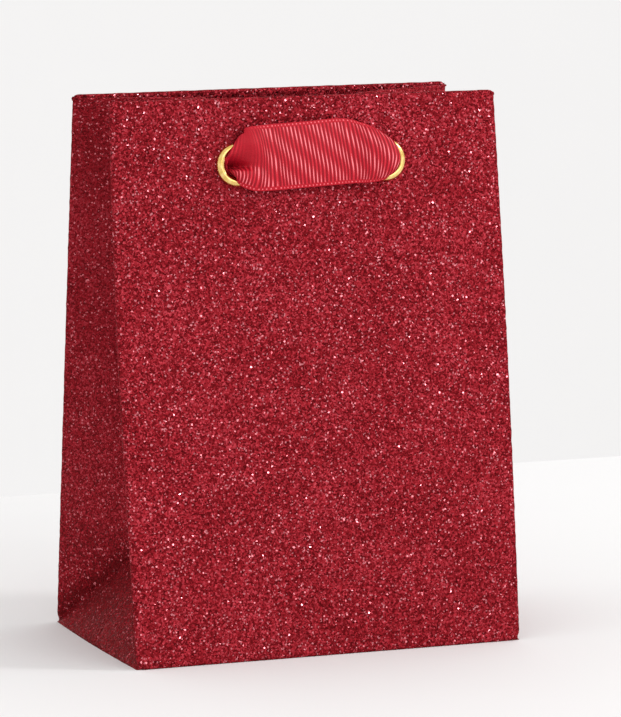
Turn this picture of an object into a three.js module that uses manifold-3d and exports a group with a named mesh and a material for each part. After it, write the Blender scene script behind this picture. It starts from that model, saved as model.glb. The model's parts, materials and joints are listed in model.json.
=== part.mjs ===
// A small paper gift bag with a ribbon handle on each side, in millimetres, +Z up.
// The origin is the middle of the bottom, X runs across the front and the front faces -Y.
import * as THREE from "three";
import { mergeVertices } from "three/addons/utils/BufferGeometryUtils.js";
import Module from "manifold-3d";

const wasm = await Module();
wasm.setup();

// The bag
const bagWidth = 95;
const bagDepth = 63;
const panelHeight = 130; // up the slope of the front and back
const mouthGap = 30.3; // between the outer faces of front and back at the top edge
const footFoldDepth = 17.5; // how far the tip of each foot fold reaches in from the side
const footFoldInset = 1.75; // of each foot fold's base from the front and back, besides the paper
const paper = 0.4;
const layerGap = 0.25; // left between laminated layers
const creaseGap = 0.35; // left where two panels meet at a crease

// The turned hem round the mouth
const hemDepth = 30;
const hemCard = 0.5;
const hemCardInset = 2;

// The bottom
const flapOverlap = 12; // how far each long flap reaches past the middle
const flapRamp = 1.8;
const tuckReach = 26;
const board = 1.2;
const boardClearance = 0.8;
const gussetFoot = 4; // where the gusset halves start above the bottom, beside the board
const closingLean = 3.5; // degrees that a panel can still lean in

// The glued side seam
const seamWidth = 10.5;
const seamInset = 1.6;

// The eyelets
const eyeletSpacing = 36.5;
const eyeletDrop = 15.7; // below the top edge
const eyeletShift = 0.75; // of each pair of eyelets to the right of its panel's middle
const eyeletBore = 5.9;
const eyeletWall = 0.3;
const flangeWidth = 10;
const flangeRise = 0.85;
const rollReach = 0.85; // of the barrel's rolled end past its wall
const rollRise = 0.4;
const washerThickness = 0.35;
const holeClearance = 0.3;

// The ribbons
const ribbonWidth = 15.9;
const ribbonThickness = 0.5;
const ribbonRise = 1.6; // the strap's middle above the eyelets' middle
const ribbonClearance = 0.3;
const strapTaper = 6.5; // the strap starts to narrow this far before the eyelet's middle
const shoulderReach = 3.6; // and the shoulder of its gathered end is this far before it
const shoulderShare = 0.8; // of the ribbon's width that is left at the shoulder
const throatShare = 0.55; // of the ribbon's width that is left where the neck turns in
const neckBend = 1.8;
const neckClearance = 0.85; // round the gathered neck in the bore
const neckFlattening = 0.8;
const pullTravel = 2;
const knotMargin = 1.7; // that the knot is wider than the bore
const knotThickness = 4.6;
const tailWidth = 10;
const tailThickness = 0.7;
const tailLength = 14;

// Fineness of the round surfaces
const curveSteps = 8; // in half a turn of a fold or of a metal edge
const turnSegments = 24;
const ribbonSides = 16;

// Worked out from the sizes above
const lean = Math.asin((bagDepth - mouthGap) / 2 / panelHeight);
const closedLean = lean + THREE.MathUtils.degToRad(closingLean);
const hemThickness = 2 * paper + 2 * layerGap + hemCard;
const topHeight = panelHeight * Math.cos(lean);
const footFoldHeight = Math.sqrt((bagDepth / 2) ** 2 - footFoldDepth ** 2);
const eyeletHeight = panelHeight - eyeletDrop;
const barrelRadius = eyeletBore / 2 + eyeletWall;
const holeRadius = barrelRadius + holeClearance;
const rollFace = hemThickness + 2 * layerGap + washerThickness;
const neckHeight = eyeletBore - 2 * neckClearance;
const knotWidth = eyeletBore + knotMargin;

// Half the gap between front and back, and the depth of the gusset's fold, at a height up the panel.
const halfGapAt = (height) => bagDepth / 2 - height * Math.sin(lean);
const foldDepthAt = (height) => Math.sqrt((bagDepth / 2) ** 2 - halfGapAt(height) ** 2);

// How far an eyelet is from its panel's middle, for the left (-1) or right (1) one as seen from outside.
const eyeletPlace = (side) => (side * eyeletSpacing) / 2 + eyeletShift;

// The inner faces of the foot folds and of a fully closed panel, as distances from the middle.
const footInside = (z) =>
  bagWidth / 2 - (z * footFoldDepth) / footFoldHeight - (paper * bagDepth) / 2 / footFoldHeight;
const panelInside = (z) =>
  bagDepth / 2 - paper / Math.cos(closedLean) - z * Math.tan(closedLean);

const glitterPaper = new THREE.MeshStandardMaterial({ color: 0x95242e, roughness: 0.55, metalness: 0.1 });
const greyBoard = new THREE.MeshStandardMaterial({ color: 0x8f8b84, roughness: 0.9, metalness: 0 });
const brass = new THREE.MeshStandardMaterial({ color: 0xc9a04a, roughness: 0.25, metalness: 1 });
const grosgrain = new THREE.MeshStandardMaterial({ color: 0xc23642, roughness: 0.7, metalness: 0 });

const bag = new THREE.Group();

function addMesh(parent, name, geometry, material) {
  const mesh = new THREE.Mesh(geometry, material);
  mesh.name = name;
  parent.add(mesh);
}

function bare(geometry) {
  const copy = geometry.clone();
  copy.deleteAttribute("normal");
  copy.deleteAttribute("uv");
  return mergeVertices(copy, 1e-4);
}

function signedVolume(geometry) {
  const corners = geometry.index.array;
  const position = geometry.getAttribute("position");
  const [a, b, c] = [new THREE.Vector3(), new THREE.Vector3(), new THREE.Vector3()];
  let volume = 0;
  for (let i = 0; i < corners.length; i += 3) {
    a.fromBufferAttribute(position, corners[i]);
    b.fromBufferAttribute(position, corners[i + 1]);
    c.fromBufferAttribute(position, corners[i + 2]);
    volume += a.dot(b.cross(c)) / 6;
  }
  return volume;
}

// Turns the faces of a closed surface outwards.
function facingOut(geometry) {
  const closed = bare(geometry);
  if (signedVolume(closed) < 0) closed.index.array.reverse();
  return closed;
}

function toSolid(geometry) {
  const closed = facingOut(geometry);
  return new wasm.Manifold(
    new wasm.Mesh({
      numProp: 3,
      vertProperties: new Float32Array(closed.getAttribute("position").array),
      triVerts: new Uint32Array(closed.index.array),
    }),
  );
}

function toGeometry(solid) {
  const mesh = solid.getMesh();
  const geometry = new THREE.BufferGeometry();
  geometry.setAttribute("position", new THREE.BufferAttribute(mesh.vertProperties, 3));
  geometry.setIndex(new THREE.BufferAttribute(mesh.triVerts, 1));
  return geometry;
}

function cut(geometry, tools) {
  const solid = tools.reduce((left, tool) => left.subtract(toSolid(tool)), toSolid(geometry));
  return toGeometry(solid);
}

function join(geometries) {
  const [first, ...rest] = geometries.map(toSolid);
  return toGeometry(rest.reduce((whole, piece) => whole.add(piece), first));
}

// Extrudes an outline of [y, z] points along X, centred on the middle.
function alongX(outline, length) {
  const shape = new THREE.Shape(outline.map(([y, z]) => new THREE.Vector2(y, z)));
  const geometry = new THREE.ExtrudeGeometry(shape, { depth: length, bevelEnabled: false });
  const turn = new THREE.Matrix4().makeBasis(
    new THREE.Vector3(0, 1, 0),
    new THREE.Vector3(0, 0, 1),
    new THREE.Vector3(1, 0, 0),
  );
  return geometry.applyMatrix4(turn).translate(-length / 2, 0, 0);
}

// Extrudes an outline of [x, y] points up from a height.
function upFrom(outline, bottom, thickness) {
  const shape = new THREE.Shape(outline.map(([x, y]) => new THREE.Vector2(x, y)));
  const geometry = new THREE.ExtrudeGeometry(shape, { depth: thickness, bevelEnabled: false });
  return geometry.translate(0, 0, bottom);
}

// Points along half an ellipse, from its start angle through half a turn.
function halfEllipse(middle, level, halfWidth, rise, fromAngle, steps) {
  return Array.from({ length: steps + 1 }, (_, i) => {
    const angle = fromAngle + (Math.PI * i) / steps;
    return [middle + halfWidth * Math.cos(angle), level + rise * Math.sin(angle)];
  });
}

// Joins rings of points with the same count into one closed surface, with a flat cap at each end.
function closedLoft(rings) {
  const count = rings[0].length;
  const corners = [];
  for (let i = 0; i + 1 < rings.length; i++) {
    for (let j = 0; j < count; j++) {
      const [a, b] = [i * count + j, i * count + ((j + 1) % count)];
      corners.push(a, b, a + count, b, b + count, a + count);
    }
  }
  const last = (rings.length - 1) * count;
  for (let j = 1; j + 1 < count; j++) {
    corners.push(0, j + 1, j);
    corners.push(last, last + j, last + j + 1);
  }
  const geometry = new THREE.BufferGeometry().setFromPoints(rings.flat());
  geometry.setIndex(corners);
  return facingOut(geometry);
}

// A ring that a lathe turns about Y.
function turned(profile) {
  const points = [...profile, profile[0]].map(([radius, y]) => new THREE.Vector2(radius, y));
  return facingOut(new THREE.LatheGeometry(points, turnSegments));
}

function holeCutters(radius) {
  return [-1, 1].map((side) =>
    new THREE.CylinderGeometry(radius, radius, 4 * hemThickness, turnSegments).translate(
      eyeletPlace(side),
      0,
      eyeletHeight,
    ),
  );
}

// A panel of the bag with its hem turned in over the card; y = 0 is its outer face.
function panelGeometry() {
  const roll = hemThickness / 2;
  const rollLevel = panelHeight - roll;
  const hemEnd = panelHeight - hemDepth;
  const outer = halfEllipse(roll, rollLevel, roll, roll, 0, curveSteps).reverse();
  const inner = halfEllipse(roll, rollLevel, roll - paper, roll - paper, 0, curveSteps);
  const outline = [
    [0, layerGap],
    ...outer,
    [hemThickness, hemEnd],
    [hemThickness - paper, hemEnd],
    ...inner,
    [paper, layerGap],
  ];
  return cut(alongX(outline, bagWidth), holeCutters(holeRadius));
}

function hemCardGeometry() {
  const height = hemDepth - hemThickness - 2 * hemCardInset;
  const card = new THREE.BoxGeometry(bagWidth - 2 * hemCardInset, hemCard, height);
  card.translate(0, hemThickness / 2, panelHeight - hemThickness - height / 2);
  return cut(card, holeCutters(holeRadius));
}

function eyeletGeometry() {
  const [bore, edge] = [eyeletBore / 2, flangeWidth / 2];
  const rollEdge = barrelRadius + rollReach;
  const [flangeMiddle, flangeHalf] = [(edge + bore) / 2, (edge - bore) / 2];
  const [rollMiddle, rollHalf] = [(rollEdge + bore) / 2, (rollEdge - bore) / 2];
  const flange = halfEllipse(flangeMiddle, -layerGap, flangeHalf, -flangeRise, 0, curveSteps);
  const roll = halfEllipse(rollMiddle, rollFace, rollHalf, -rollRise, Math.PI, curveSteps);
  return turned([...flange, ...roll, [barrelRadius, rollFace], [barrelRadius, -layerGap]]);
}

function washerGeometry() {
  const near = hemThickness + layerGap;
  const far = near + washerThickness;
  const edge = flangeWidth / 2;
  return turned([[holeRadius, near], [edge, near], [edge, far], [holeRadius, far]]);
}

// One ring of the ribbon: its middle, half its width up the panel, half its thickness and the path's turn.
function ribbonRing([x, y, z, halfWidth, halfThickness, bend]) {
  return Array.from({ length: ribbonSides }, (_, i) => {
    const angle = (2 * Math.PI * i) / ribbonSides;
    const across = halfThickness * Math.sin(angle);
    return new THREE.Vector3(
      x + across * Math.sin(bend),
      y - across * Math.cos(bend),
      z + halfWidth * Math.cos(angle),
    );
  });
}

// The strap with its gathered necks, which pass in through the eyelets, and the knots that hold them.
function ribbonGeometry() {
  const strapLevel = -(layerGap + flangeRise + ribbonClearance + ribbonThickness / 2);
  const [flat, thin] = [ribbonWidth / 2, ribbonThickness / 2];
  const eyelet = eyeletSpacing / 2;
  const knotMiddle = rollFace + rollRise + ribbonClearance + pullTravel + knotThickness / 2;
  const [neckHalfHeight, neckHalfWidth] = [neckHeight / 2, (neckHeight * neckFlattening) / 2];
  const right = [
    [eyelet - strapTaper, strapLevel, ribbonRise, flat, thin, 0],
    [eyelet - shoulderReach, strapLevel, ribbonRise * shoulderShare, flat * shoulderShare, thin, 0],
  ];
  for (const share of [0, 1 / 3, 2 / 3, 1]) {
    const bend = (share * Math.PI) / 2;
    right.push([
      eyelet - neckBend * (1 - Math.sin(bend)),
      strapLevel + neckBend * (1 - Math.cos(bend)),
      ribbonRise * throatShare * (1 - share) ** 2,
      THREE.MathUtils.lerp(flat * throatShare, neckHalfHeight, Math.sqrt(share)),
      THREE.MathUtils.lerp(thin, neckHalfWidth, share),
      bend,
    ]);
  }
  right.push([eyelet, knotMiddle, 0, neckHalfHeight, neckHalfWidth, Math.PI / 2]);
  const left = right.map(([x, y, z, wide, thick, bend]) => [-x, y, z, wide, thick, -bend]).reverse();
  const strap = closedLoft([...left, ...right].map((station) => ribbonRing(station)));
  const pieces = [strap];
  for (const side of [-1, 1]) {
    const knot = new THREE.SphereGeometry(knotWidth / 2, ribbonSides, curveSteps);
    knot.scale(1, knotThickness / knotWidth, 1);
    pieces.push(knot.translate(side * eyelet, knotMiddle, 0));
    const tail = new THREE.BoxGeometry(tailWidth, tailThickness, tailLength);
    pieces.push(tail.translate(side * eyelet, knotMiddle, -tailLength / 2));
  }
  return join(pieces).translate(eyeletShift, 0, eyeletHeight);
}

// A group whose X, Z plane is the outer face of the front, or of the back, with +Y inwards.
function panelGroup(isBack) {
  const turn = new THREE.Group();
  turn.rotation.z = isBack ? Math.PI : 0;
  const group = new THREE.Group();
  group.position.y = -bagDepth / 2;
  group.rotation.x = -lean;
  turn.add(group);
  bag.add(turn);
  return group;
}

function addPanel(face) {
  const isBack = face === "back";
  const group = panelGroup(isBack);
  addMesh(group, `${face}_panel`, panelGeometry(), glitterPaper);
  addMesh(group, `${face}_hem_card`, hemCardGeometry(), greyBoard);
  for (const side of [-1, 1]) {
    const name = (side < 0) === isBack ? "right" : "left";
    const x = eyeletPlace(side);
    addMesh(group, `${face}_eyelet_${name}`, eyeletGeometry().translate(x, 0, eyeletHeight), brass);
    addMesh(group, `${face}_washer_${name}`, washerGeometry().translate(x, 0, eyeletHeight), brass);
  }
  addMesh(group, `${face}_ribbon`, ribbonGeometry(), grosgrain);
  return group;
}

// The glue flap that closes the sheet into a tube, inside the back along its right-hand side.
function addSideSeamFlap(backGroup) {
  const height = panelHeight - hemDepth - 2 * board - 2 * seamInset;
  const flap = new THREE.BoxGeometry(seamWidth, paper, height);
  const x = -(bagWidth / 2 - seamInset - seamWidth / 2);
  const y = paper + layerGap + paper / 2;
  const z = panelHeight - hemDepth - seamInset - height / 2;
  addMesh(backGroup, "side_seam_flap", flap.translate(x, y, z), glitterPaper);
}

// Half of the left gusset in front of its middle crease, as rings round a thin curved sheet.
function gussetHalfRings() {
  const [rows, columns] = [16, 3];
  const firstRow = gussetFoot / panelHeight;
  const toFrame = new THREE.Matrix4().makeRotationX(-lean).setPosition(0, -bagDepth / 2, 0);
  const hemLayers = 2 * paper + layerGap;
  const corner = new THREE.Vector3(-bagWidth / 2, -bagDepth / 2, 0);
  const foot = new THREE.Vector3(footFoldDepth - bagWidth / 2, -creaseGap, footFoldHeight + creaseGap);
  const top = new THREE.Vector3(foldDepthAt(panelHeight) - bagWidth / 2, -creaseGap, topHeight - 2 * paper);
  const footShare = footFoldHeight / topHeight;
  const hemShare = 1 - hemDepth / panelHeight;
  const shares = Array.from({ length: rows + 1 }, (_, i) => firstRow + ((1 - firstRow) * i) / rows);
  const hemStart = [hemShare, hemShare + paper / panelHeight];
  const levels = [...shares, ...hemStart, footShare].sort((a, b) => a - b);
  return levels.map((share) => {
    const inHem = share > hemShare;
    const thickness = inHem ? hemLayers : paper;
    const clear = (inHem ? hemThickness : paper) + layerGap + thickness / 2;
    const height = Math.max(share * panelHeight - layerGap, 2 * paper);
    const edge = new THREE.Vector3(thickness / 2 - bagWidth / 2, clear, height).applyMatrix4(toFrame);
    const crease =
      share < footShare
        ? corner.clone().setX(corner.x + 2 * paper).lerp(foot, share / footShare)
        : foot.clone().lerp(top, (share - footShare) / (1 - footShare));
    crease.y = Math.min(crease.y, -thickness);
    crease.z = Math.max(crease.z, height * Math.cos(lean) - 2 * creaseGap);
    const out = new THREE.Vector3(-(crease.y - edge.y), crease.x - edge.x, 0).setLength(thickness / 2);
    const middle = Array.from({ length: columns + 1 }, (_, j) => edge.clone().lerp(crease, j / columns));
    return [
      ...middle.map((point) => point.clone().add(out)),
      ...middle.map((point) => point.clone().sub(out)).reverse(),
    ];
  });
}

function addGussets() {
  const half = closedLoft(gussetHalfRings());
  for (const [side, mirrorX] of [["left", 1], ["right", -1]]) {
    for (const [face, mirrorY] of [["front", 1], ["back", -1]]) {
      const geometry = facingOut(half.clone().scale(mirrorX, mirrorY, 1));
      addMesh(bag, `gusset_${side}_${face}`, geometry, glitterPaper);
    }
  }
}

// The triangle at the foot of each gusset, which leans in from the side of the bottom.
function addFootFolds() {
  const slope = Math.atan2(footFoldDepth, footFoldHeight);
  const halfBase = bagDepth / 2 - paper - footFoldInset;
  const outline = [
    [-halfBase, creaseGap],
    [halfBase, creaseGap],
    [creaseGap, halfBase + creaseGap],
    [-creaseGap, halfBase + creaseGap],
  ];
  for (const [side, sign] of [["left", -1], ["right", 1]]) {
    const shape = new THREE.Shape(outline.map(([y, z]) => new THREE.Vector2(y, z)));
    const geometry = new THREE.ExtrudeGeometry(shape, { depth: paper, bevelEnabled: false });
    const across = new THREE.Vector3(0, 1, 0);
    const up = new THREE.Vector3(-sign * Math.sin(slope), 0, Math.cos(slope));
    const inward = new THREE.Vector3(-sign * Math.cos(slope), 0, -Math.sin(slope));
    geometry.applyMatrix4(new THREE.Matrix4().makeBasis(across, up, inward));
    geometry.translate((sign * bagWidth) / 2, 0, 0);
    addMesh(bag, `foot_fold_${side}`, facingOut(geometry), glitterPaper);
  }
}

function addBottom() {
  const flapEdge = bagDepth / 2 - paper - creaseGap;
  const lifted = paper + layerGap;
  const rampTop = flapOverlap + 2 * layerGap;
  const rampFoot = rampTop + flapRamp;
  const flapLength = 2 * (footInside(lifted + paper) - layerGap);
  const frontFlap = [
    [-flapEdge, 0],
    [flapOverlap, 0],
    [flapOverlap, paper],
    [-flapEdge, paper],
  ];
  const backFlap = [
    [flapEdge, 0],
    [flapEdge, paper],
    [rampFoot + layerGap, paper],
    [rampTop + layerGap, lifted + paper],
    [-flapOverlap, lifted + paper],
    [-flapOverlap, lifted],
    [rampTop, lifted],
    [rampFoot, 0],
  ];
  addMesh(bag, "bottom_flap_front", alongX(frontFlap, flapLength), glitterPaper);
  addMesh(bag, "bottom_flap_back", alongX(backFlap, flapLength), glitterPaper);

  const tuckLevel = lifted + paper + layerGap;
  const tuckEdge = footInside(tuckLevel + paper) - layerGap;
  const tuckHalf = panelInside(tuckLevel + paper) - layerGap;
  for (const [side, sign] of [["left", -1], ["right", 1]]) {
    const outline = [
      [sign * tuckEdge, -tuckHalf],
      [sign * tuckEdge, tuckHalf],
      [sign * (tuckEdge - tuckReach), tuckHalf - tuckReach],
      [sign * (tuckEdge - tuckReach), tuckReach - tuckHalf],
    ];
    addMesh(bag, `tuck_flap_${side}`, facingOut(upFrom(outline, tuckLevel, paper)), glitterPaper);
  }

  const boardLevel = tuckLevel + paper + layerGap;
  const boardLength = 2 * (footInside(boardLevel + board) - boardClearance);
  const boardDepth = 2 * (panelInside(boardLevel + board) - boardClearance);
  const boardGeometry = new THREE.BoxGeometry(boardLength, boardDepth, board);
  addMesh(bag, "base_board", boardGeometry.translate(0, 0, boardLevel + board / 2), greyBoard);
}

addPanel("front");
addSideSeamFlap(addPanel("back"));
addGussets();
addFootFolds();
addBottom();

export default bag;
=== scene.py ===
"""The looks of a small red glitter-paper gift bag with grosgrain ribbon handles, in metres.

Each wall is one folded sheet of paper, glittered outside and plain inside. A panel is made in its own
frame, where x runs across as seen from outside, y goes inwards from its outer face and z goes up its
slope, and is then bowed and leaned into place. The sides bend between the bottom and their panel.
"""
import json
import math

import bmesh
import bpy
import numpy as np
from mathutils import Matrix, Vector


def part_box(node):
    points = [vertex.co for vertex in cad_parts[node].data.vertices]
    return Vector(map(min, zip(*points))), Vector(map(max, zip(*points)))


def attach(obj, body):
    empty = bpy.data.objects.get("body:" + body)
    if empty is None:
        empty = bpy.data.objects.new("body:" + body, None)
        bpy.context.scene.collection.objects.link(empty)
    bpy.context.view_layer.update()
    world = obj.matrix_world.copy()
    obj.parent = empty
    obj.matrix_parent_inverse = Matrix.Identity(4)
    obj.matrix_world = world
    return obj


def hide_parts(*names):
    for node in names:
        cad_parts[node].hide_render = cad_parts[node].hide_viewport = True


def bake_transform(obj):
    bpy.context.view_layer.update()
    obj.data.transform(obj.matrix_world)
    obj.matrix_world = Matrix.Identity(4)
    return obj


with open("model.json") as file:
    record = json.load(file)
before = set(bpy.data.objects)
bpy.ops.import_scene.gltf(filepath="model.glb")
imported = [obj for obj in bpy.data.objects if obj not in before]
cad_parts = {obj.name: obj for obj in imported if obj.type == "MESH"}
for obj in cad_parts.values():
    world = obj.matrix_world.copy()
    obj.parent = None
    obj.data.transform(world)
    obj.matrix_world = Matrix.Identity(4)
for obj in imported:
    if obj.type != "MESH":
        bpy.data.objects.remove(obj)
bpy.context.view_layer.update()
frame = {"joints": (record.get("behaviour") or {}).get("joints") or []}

# Sizes that the frame gives
JOINTS = {joint["name"]: joint for joint in frame["joints"]}
PANEL_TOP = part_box("front_panel")[1]
HALF_WIDTH = PANEL_TOP.x
HALF_DEPTH = -JOINTS["front_lean"]["pos_m"][1]
LEAN = math.asin(JOINTS["front_handle_pull"]["axis"][2])

# Paper and card
PAPER = 0.0004
CARD = 0.0005
WASHER = 0.00035
GRAIN = 0.00005  # how far the glitter makes the paper uneven
FLOOR_GAP = 0.00002  # the lowest that paper reaches
FOLD_TOP = 0.002  # below this height, paper lies in the fold at the very bottom

# The panels and their turned hem
HEM_THICKNESS = 0.0018
HEM_DEPTH = 0.030
EDGE_RADIUS = 0.0008
SIDE_HEM = 0.0010
HEM_FLAT = 0.038  # half the width over which the hem isn't narrowed
HEM_PINCH = 0.47  # how much the turned hem is narrowed, as a share of hem_inset
CORNER_PINCH = 0.25  # the hem's least thickness at a corner, as a share of the full one
FOOT_LIFT = 0.0005  # how far a bottom corner is worn
CARD_INSET = 0.0032
CARD_LIFT = 0.002
SEAM_GAP = 0.00012
PANEL_HEIGHT = (PANEL_TOP.z + HEM_THICKNESS / 2 * math.sin(LEAN)) / math.cos(LEAN)
HEM_START = PANEL_HEIGHT - HEM_DEPTH

# The side folds
FOLD_DEPTH_FOOT = 0.0175
FOLD_DEPTH_TOP = math.sqrt(HALF_DEPTH**2 - (HALF_DEPTH - PANEL_HEIGHT * math.sin(LEAN)) ** 2)
FOOT_TIP = np.array([-HALF_WIDTH + FOLD_DEPTH_FOOT, 0, math.sqrt(HALF_DEPTH**2 - FOLD_DEPTH_FOOT**2)])
TOP_TIP = np.array([-HALF_WIDTH + FOLD_DEPTH_TOP, 0, PANEL_HEIGHT * math.cos(LEAN) - 0.0008])
GUSSET_SAG = {"left": 0.0008, "right": -0.0006}
SIDE_BELLY = {("left", "front"): 0.0004, ("left", "back"): -0.0007,
              ("right", "front"): -0.0008, ("right", "back"): 0.0005}
FOOT_BULGE = 0.0006
CREASE_RADIUS = 0.0004
FULL_RADIUS_WIDTH = 0.004  # a narrower half has its folds rounded less
# Painted shade: how dark the foot fold is painted, how wide the painted shade band above its crease is, and
# how much sparkle the sides lose as painted shade
FOOT_PAINTED_SHADE = 0.45
CREASE_SHADE_WIDTH = 0.0035
SIDE_SHADE_DULLING = 0.35

# The bottom
FLAP_INSET = 0.00045
FLAP_TAPER = 0.0002
LAP_GAP = 0.0004
LAP_RAMP = 0.002
LAP_SHORTENING = 1.15  # of what the foot fold's slope takes from a raised flap
BOARD_CORNER = 0.0015
BOARD_EDGE = 0.0002

# Eyelets
FLANGE_RADIUS = 0.005
FLANGE_RISE = 0.001
FLANGE_SINK = 0.0001
BORE_RADIUS = 0.00295
HOLE_RADIUS = 0.00355
BARREL_RADIUS = 0.00325
LAYER_GAP = 0.00025
BACK_ROLL = 0.00085

# Ribbon
RIBBON_WIDTH = 0.0159
RIBBON_THICKNESS = 0.00035
RIB_PITCH = 0.00087
RIB_HEIGHT = 0.00013
SELVEDGE = 0.0010
LOBE_PLACE, LOBE_SPREAD = 0.0125, 0.0036  # along the strap, where its left end is pressed flat
# Painted shade: where along the strap the pocket beside its pressed left end is painted dark
POCKET_SHADE_PLACE, POCKET_SHADE_SPREAD = 0.0085, 0.003  # along the strap, the dark pocket beside it
KNOT_DEPTH = 0.0073
KNOT_SHIFT = 0.0026
KNOT_FLATNESS = 0.72
WINDINGS = [(0.5, 1.9, 1.75), (-0.7, 2.1, 1.45)]  # (tilt, ring's radius, tube's radius), in mm
TAIL_LENGTH = 0.014
TAIL_START, TAIL_SPREAD = 0.0024, 0.0022


# ---------------- meshes

def smooth(t):
    """An even step from 0 to 1 as t goes from 0 to 1."""
    t = np.clip(t, 0, 1)
    return t * t * (3 - 2 * t)


def joined(*parts):
    """Arrays or numbers, one for each coordinate, as one array of vectors."""
    return np.stack(np.broadcast_arrays(*parts), axis=-1)


def grid_faces(rows, columns, start=0, closed=False):
    """Quads of a grid of rows by columns of vertices; closed joins the last column to the first."""
    i, j = np.meshgrid(np.arange(rows - 1), np.arange(columns if closed else columns - 1), indexing="ij")
    a = start + i * columns + j
    b = start + i * columns + (j + 1) % columns
    return np.stack([a, b, b + columns, a + columns], axis=-1).reshape(-1, 4)


def make_piece(name, grids, materials, weld, closed=False):
    """One mesh from grids, each (points, sheet places), with the sheet places kept for the materials."""
    points = np.concatenate([p.reshape(-1, 3) for p, _ in grids])
    places = np.concatenate([q.reshape(-1, 3) for _, q in grids])
    faces, start = [], 0
    for p, _ in grids:
        faces.append(grid_faces(p.shape[0], p.shape[1], start, closed))
        start += p.shape[0] * p.shape[1]
    return mesh_piece(name, points, np.concatenate(faces), materials, places, weld)


def keep_vectors(mesh, name, values):
    """Stores a vector for each vertex, for the materials to read."""
    held = mesh.attributes.new(name, "FLOAT_VECTOR", "POINT")
    held.data.foreach_set("vector", np.asarray(values, np.float32).ravel())


def mesh_piece(name, points, faces, materials, places, weld):
    """One mesh; weld is how near each other vertices are joined, or 0 to leave them all."""
    mesh = bpy.data.meshes.new(name)
    mesh.from_pydata(points.tolist(), [], faces.tolist())
    keep_vectors(mesh, "sheet", places)
    if weld:
        work = bmesh.new()
        work.from_mesh(mesh)
        bmesh.ops.remove_doubles(work, verts=work.verts, dist=weld)
        bmesh.ops.dissolve_degenerate(work, edges=work.edges, dist=weld)
        work.to_mesh(mesh)
        work.free()
    mesh.polygons.foreach_set("use_smooth", [True] * len(mesh.polygons))
    for material in materials:
        mesh.materials.append(material)
    piece = bpy.data.objects.new(name, mesh)
    bpy.context.scene.collection.objects.link(piece)
    return piece


def thicken(piece, thickness, offset=-1.0, backing=0):
    """Gives a sheet its thickness, behind its outer face unless offset says otherwise, as real mesh."""
    solid = piece.modifiers.new("thickness", "SOLIDIFY")
    solid.thickness = thickness
    solid.offset = offset
    solid.use_quality_normals = True
    solid.material_offset = backing
    apply_modifiers(piece)
    return piece


def apply_modifiers(piece):
    graph = bpy.context.evaluated_depsgraph_get()
    made = bpy.data.meshes.new_from_object(
        piece.evaluated_get(graph), preserve_all_data_layers=True, depsgraph=graph
    )
    piece.modifiers.clear()
    piece.data = made


def roughened(points):
    """The unevenness that the glitter gives the paper, the same for pieces that share a place."""
    x, y, z = (points[..., i] * 1000 for i in range(3))
    a = np.sin(5.1 * x + 2.3 * z) * np.sin(4.3 * z - 1.9 * y + 1) + 0.7 * np.sin(8.3 * z + 5.7 * y + 3.1 * x)
    b = np.sin(4.7 * z + 1.7 * x + 2) * np.sin(5.9 * y + 3.7 * x) + 0.7 * np.sin(7.9 * x - 4.1 * z + 1)
    c = np.sin(3.9 * x - 5.3 * y) * np.sin(6.1 * z + 2.9 * x + 1)
    off_floor = smooth(points[..., 2] / FOLD_TOP)
    return points + GRAIN * joined(a, b, c) * off_floor[..., None]


def spaced(start, end, step):
    """Evenly spaced values from start to end, about a step apart."""
    count = max(2, int(round(abs(end - start) / step)) + 1)
    return np.linspace(start, end, count)


# ---------------- the panel frame

def bow(face, x, z):
    """How far a panel's paper bows inwards at a place on it."""
    across = x / HALF_WIDTH
    up = np.clip(z / PANEL_HEIGHT, 0, 1)
    if face == "front":
        left = 0.0026 * ((1 - across) / 2) ** 2 * np.sin(np.pi * up**1.25)
        right = -0.0012 * ((1 + across) / 2) ** 2 * np.sin(np.pi * up)
        middle = -0.0005 * np.cos(np.pi * across / 2) * np.sin(np.pi * up**0.8)
        return left + right + middle
    lean_in = 0.0016 * ((1 + across) / 2) ** 2 * up**1.5
    lean_out = -0.0008 * ((1 - across) / 2) ** 2 * up**1.5
    return lean_in + lean_out - 0.0006 * np.cos(np.pi * across / 2) * np.sin(np.pi * up)


def place(face, points, bowed=True):
    """Points of a panel's frame in the bag's frame."""
    x, y, z = points[..., 0], points[..., 1], points[..., 2]
    if bowed:
        y = y + bow(face, x, z)
    out = -HALF_DEPTH + y * math.cos(LEAN) + z * math.sin(LEAN)
    up = -y * math.sin(LEAN) + z * math.cos(LEAN)
    sign = 1 if face == "front" else -1
    return joined(sign * x, sign * out, up)


def eyelet_places(face):
    """(x, z, name) of a panel's eyelets in its own frame, left then right as seen from outside."""
    sign = 1 if face == "front" else -1
    places = []
    for side in (-1, 1):
        name = "left" if side * sign < 0 else "right"
        low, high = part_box(f"{face}_eyelet_{name}")
        middle = (low + high) / 2
        up = (sign * middle.y + HALF_DEPTH) * math.sin(LEAN) + middle.z * math.cos(LEAN)
        places.append((sign * middle.x, up, name))
    return places


def panel_matrix(face, x, z):
    """A frame on a panel at a place: X across, Y inwards, Z up the slope."""
    y = float(bow(face, x, z))
    turn = Matrix.Rotation(0 if face == "front" else math.pi, 4, "Z")
    shift = Matrix.Translation((0, -HALF_DEPTH, 0))
    return turn @ shift @ Matrix.Rotation(-LEAN, 4, "X") @ Matrix.Translation((x, y, z))


# ---------------- materials

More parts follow.
